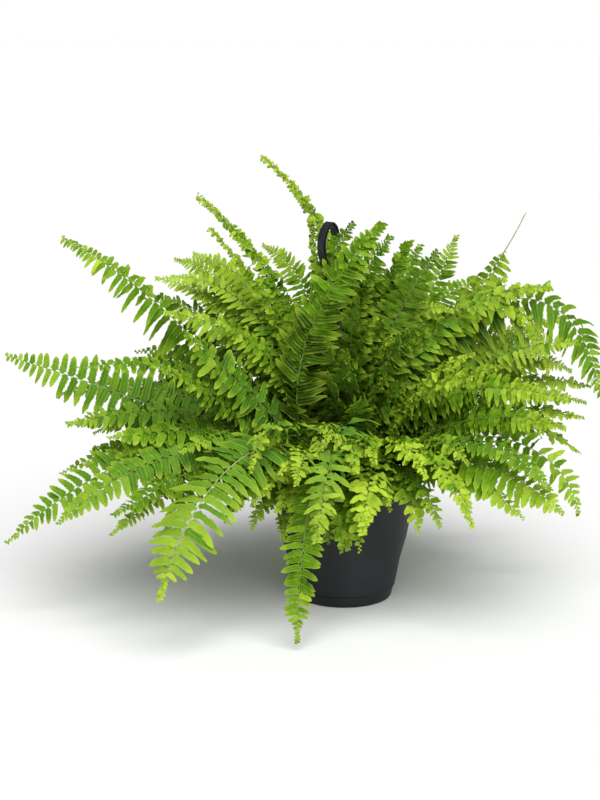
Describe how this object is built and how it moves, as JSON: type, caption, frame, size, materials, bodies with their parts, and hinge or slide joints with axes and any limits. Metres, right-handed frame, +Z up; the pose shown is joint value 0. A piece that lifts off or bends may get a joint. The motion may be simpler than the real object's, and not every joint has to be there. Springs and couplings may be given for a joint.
{
  "type": "potted fern",
  "caption": "Arching sword fern in a dark tapered hanging pot with a drip saucer and a hook hanger, standing on its saucer.",
  "frame": {"origin": "on the pot's axis, in the plane of the saucer's underside", "axes": "+Z up along the pot's axis; -Y is the front that the picture shows"},
  "size_m": [0.8288, 0.6701, 0.617],
  "materials": {
    "pot_plastic": "dark charcoal grey injection-moulded plastic, fine matte grain",
    "saucer_plastic": "dark charcoal grey injection-moulded plastic, fine matte grain",
    "hanger_plastic": "black plastic with a soft bluish sheen",
    "potting_mix": "dark moist peat mix, crumbly",
    "root_fibre": "brown scaly root stock",
    "leaf": "thin satin leaf, mid green with yellow-green new growth, lets light through"
  },
  "bodies": {
    "root": {"pot": "pot_plastic", "saucer": "saucer_plastic", "soil": "potting_mix", "root_crown": "root_fibre", "hanger_hook": "hanger_plastic", "hanger_arm_1": "hanger_plastic", "hanger_arm_2": "hanger_plastic", "hanger_arm_3": "hanger_plastic", "frond_01": "leaf", "frond_02": "leaf", "frond_03": "leaf", "frond_04": "leaf", "frond_05": "leaf", "frond_06": "leaf", "frond_07": "leaf", "frond_08": "leaf", "frond_09": "leaf", "frond_10": "leaf", "frond_11": "leaf", "frond_12": "leaf", "frond_13": "leaf", "frond_14": "leaf", "frond_15": "leaf", "frond_16": "leaf", "frond_17": "leaf", "frond_18": "leaf", "frond_19": "leaf", "frond_20": "leaf", "frond_21": "leaf", "frond_22": "leaf", "frond_23": "leaf", "frond_24": "leaf", "frond_25": "leaf", "frond_26": "leaf", "frond_27": "leaf", "frond_28": "leaf", "frond_29": "leaf", "frond_30": "leaf", "frond_31": "leaf", "frond_32": "leaf", "frond_33": "leaf", "frond_34": "leaf", "frond_35": "leaf", "frond_36": "leaf", "frond_37": "leaf", "frond_38": "leaf", "frond_39": "leaf", "frond_40": "leaf", "frond_41": "leaf", "frond_42": "leaf", "frond_43": "leaf", "frond_44": "leaf", "frond_45": "leaf", "frond_46": "leaf", "frond_47": "leaf", "frond_48": "leaf", "frond_49": "leaf", "frond_50": "leaf", "frond_51": "leaf", "frond_52": "leaf"}
  },
  "joints": []
}
